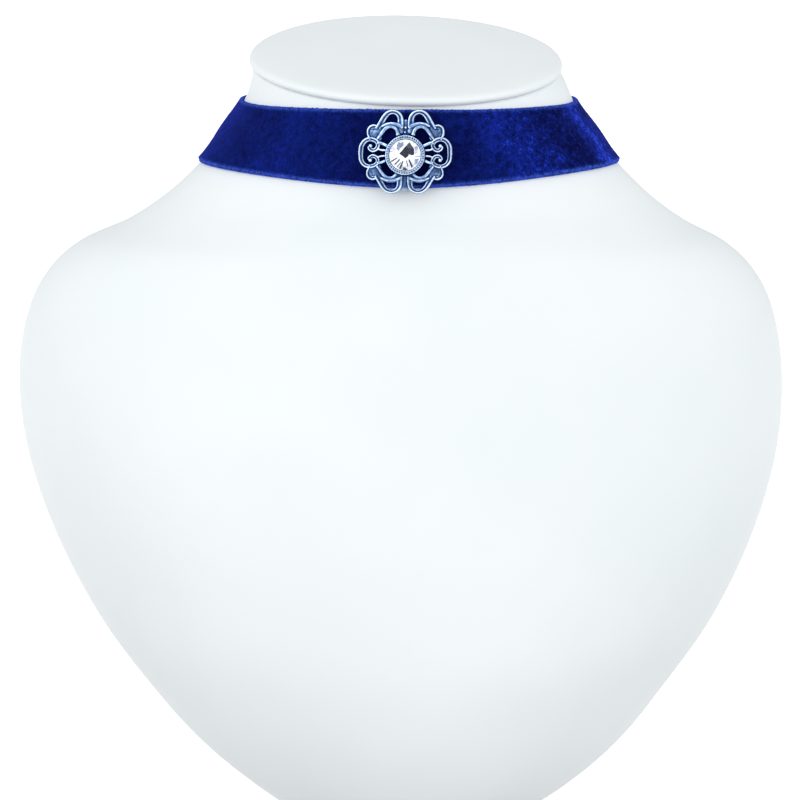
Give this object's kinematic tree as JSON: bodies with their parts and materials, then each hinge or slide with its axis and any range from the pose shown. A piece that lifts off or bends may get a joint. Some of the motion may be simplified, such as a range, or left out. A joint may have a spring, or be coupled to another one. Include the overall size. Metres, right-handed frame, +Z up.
{
  "type": "choker necklace on a neck bust",
  "caption": "Velvet ribbon choker with a cast filigree rosette and a round cut crystal, fastened round a plain free-standing neck bust.",
  "frame": {"origin": "on the bust's flat foot, in the middle of its width, on the axis that its sections are built round", "axes": "+Z up, the rosette and the chest face -Y, +X to the right of someone who looks at the front"},
  "size_m": [0.2234, 0.1324, 0.2348],
  "materials": {
    "leatherette": "white leatherette with a fine grain, soft satin",
    "velvet": "royal blue velvet pile, dark where seen straight on, brighter at the edges",
    "clasp_metal": "plain satin",
    "silver": "cast silver tone, bright ridges and dark recesses",
    "crystal": "clear cut crystal, foiled behind"
  },
  "bodies": {
    "root": {"bust_body": "leatherette", "bust_cap": "leatherette", "velvet_ribbon": "velvet", "clasp": "clasp_metal", "rosette": "silver", "crystal": "crystal"}
  },
  "joints": []
}
